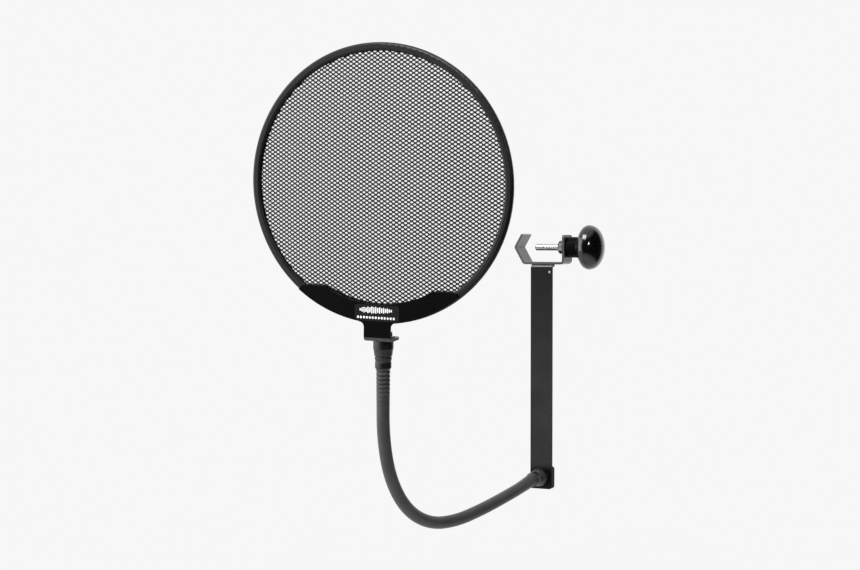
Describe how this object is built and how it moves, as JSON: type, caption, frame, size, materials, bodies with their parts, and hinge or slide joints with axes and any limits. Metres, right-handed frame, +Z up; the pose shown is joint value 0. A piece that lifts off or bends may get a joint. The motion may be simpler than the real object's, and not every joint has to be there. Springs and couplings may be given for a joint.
{
  "type": "pop filter",
  "caption": "Round mesh pop filter on a gooseneck, with a flat extension arm and a screw clamp that holds it on a microphone stand.",
  "frame": {"origin": "centre of the largest tube that the clamp takes, on the clamp screw's axis, in the middle of the strip's width", "axes": "+X along the clamp screw towards the knob; +Y backwards, away from the singer, along the clamped tube; +Z up, with the arm running down from the clamp"},
  "size_m": [0.1647, 0.2525, 0.2993],
  "materials": {
    "black_paint": "fine matt black powder coat on steel",
    "mesh_paint": "satin black paint on expanded metal",
    "zinc": "bright zinc plate",
    "insert_brass": "turned, hidden in the knob",
    "knob_phenolic": "polished black",
    "ferrule_black": "satin black, turned",
    "rim_black": "satin black",
    "sleeve_black": "satin black sleeve, faint ribs near its ends",
    "spring_steel": "wound spring, hidden in the sleeve",
    "label": null
  },
  "bodies": {
    "clamp_and_arm": {"clamp_bracket": "black_paint", "clamp_nut": "zinc", "extension_arm": "black_paint", "arm_weld": "black_paint", "arm_backing_block": "black_paint", "arm_stud": "zinc", "arm_ferrule": "ferrule_black"},
    "screw_carrier": {"knob_insert": "insert_brass"},
    "screw_and_knob": {"clamp_screw": "zinc", "knob": "knob_phenolic"},
    "neck_1": {"gooseneck_sleeve_1": "sleeve_black", "spring_core_1": "spring_steel"},
    "neck_2": {"gooseneck_sleeve_2": "sleeve_black", "spring_core_2": "spring_steel"},
    "neck_3": {"gooseneck_sleeve_3": "sleeve_black", "spring_core_3": "spring_steel"},
    "neck_4": {"gooseneck_sleeve_4": "sleeve_black", "spring_core_4": "spring_steel"},
    "neck_5": {"gooseneck_sleeve_5": "sleeve_black", "spring_core_5": "spring_steel"},
    "neck_6": {"gooseneck_sleeve_6": "sleeve_black", "spring_core_6": "spring_steel"},
    "neck_7": {"gooseneck_sleeve_7": "sleeve_black", "spring_core_7": "spring_steel"},
    "neck_8": {"gooseneck_sleeve_8": "sleeve_black", "spring_core_8": "spring_steel"},
    "neck_9": {"gooseneck_sleeve_9": "sleeve_black", "spring_core_9": "spring_steel"},
    "screen_head": {"head_ferrule": "ferrule_black", "head_stud": "zinc", "head_lock_washer": "zinc", "head_jam_nut": "zinc", "bracket_front": "black_paint", "bracket_back": "black_paint", "bracket_rivets": "zinc", "badge_label": "label", "mesh_screen": "mesh_paint", "rim_trim": "rim_black"}
  },
  "joints": [
    {"name": "screw_travel", "type": "slide", "parent": "clamp_and_arm", "child": "screw_carrier", "axis": [1, 0, 0], "range_m": [0, 0.0168]},
    {"name": "knob_spin", "type": "hinge", "parent": "screw_carrier", "child": "screw_and_knob", "pos_m": [0.0329, 0, 0], "axis": [1, 0, 0], "range_deg": [0, 7560]},
    {"name": "neck_bend_1", "type": "hinge", "parent": "clamp_and_arm", "child": "neck_1", "pos_m": [0.0037, -0.0265, -0.1605], "axis": [1, 0, 0], "range_deg": [-11, 12]},
    {"name": "neck_sway_2", "type": "hinge", "parent": "neck_1", "child": "neck_2", "pos_m": [0.0021, -0.05431, -0.16478], "axis": [-0.0005, -0.1564, 0.9877], "range_deg": [-15, 15]},
    {"name": "neck_bend_3", "type": "hinge", "parent": "neck_2", "child": "neck_3", "pos_m": [-0.00194, -0.08185, -0.16927], "axis": [0.9848, -0.1715, -0.0269], "range_deg": [-11, 15]},
    {"name": "neck_sway_4", "type": "hinge", "parent": "neck_3", "child": "neck_4", "pos_m": [-0.00708, -0.10929, -0.17324], "axis": [0.0062, -0.1225, 0.9925], "range_deg": [-15, 15]},
    {"name": "neck_bend_5", "type": "hinge", "parent": "neck_4", "child": "neck_5", "pos_m": [-0.01241, -0.13693, -0.17402], "axis": [0.9816, -0.1885, -0.0294], "range_deg": [-11, 15]},
    {"name": "neck_sway_6", "type": "hinge", "parent": "neck_5", "child": "neck_6", "pos_m": [-0.01711, -0.16375, -0.16729], "axis": [0.1005, 0.3974, 0.9121], "range_deg": [-15, 15]},
    {"name": "neck_bend_7", "type": "hinge", "parent": "neck_6", "child": "neck_7", "pos_m": [-0.02022, -0.18616, -0.1508], "axis": [0.9865, -0.1581, -0.0438], "range_deg": [-11, 15]},
    {"name": "neck_sway_8", "type": "hinge", "parent": "neck_7", "child": "neck_8", "pos_m": [-0.02114, -0.20081, -0.12691], "axis": [0.1585, 0.9207, 0.3567], "range_deg": [-15, 15]},
    {"name": "neck_bend_9", "type": "hinge", "parent": "neck_8", "child": "neck_9", "pos_m": [-0.01991, -0.2082, -0.09978], "axis": [0.9858, -0.1353, -0.0995], "range_deg": [-11, 15]},
    {"name": "neck_sway_10", "type": "hinge", "parent": "neck_9", "child": "screen_head", "pos_m": [-0.01817, -0.21153, -0.07185], "axis": [0.1442, 0.9871, 0.069], "range_deg": [-15, 15]}
  ],
  "couplings": [
    {"joint": "knob_spin", "follows": "screw_travel", "rad_per_m": 7854}
  ]
}
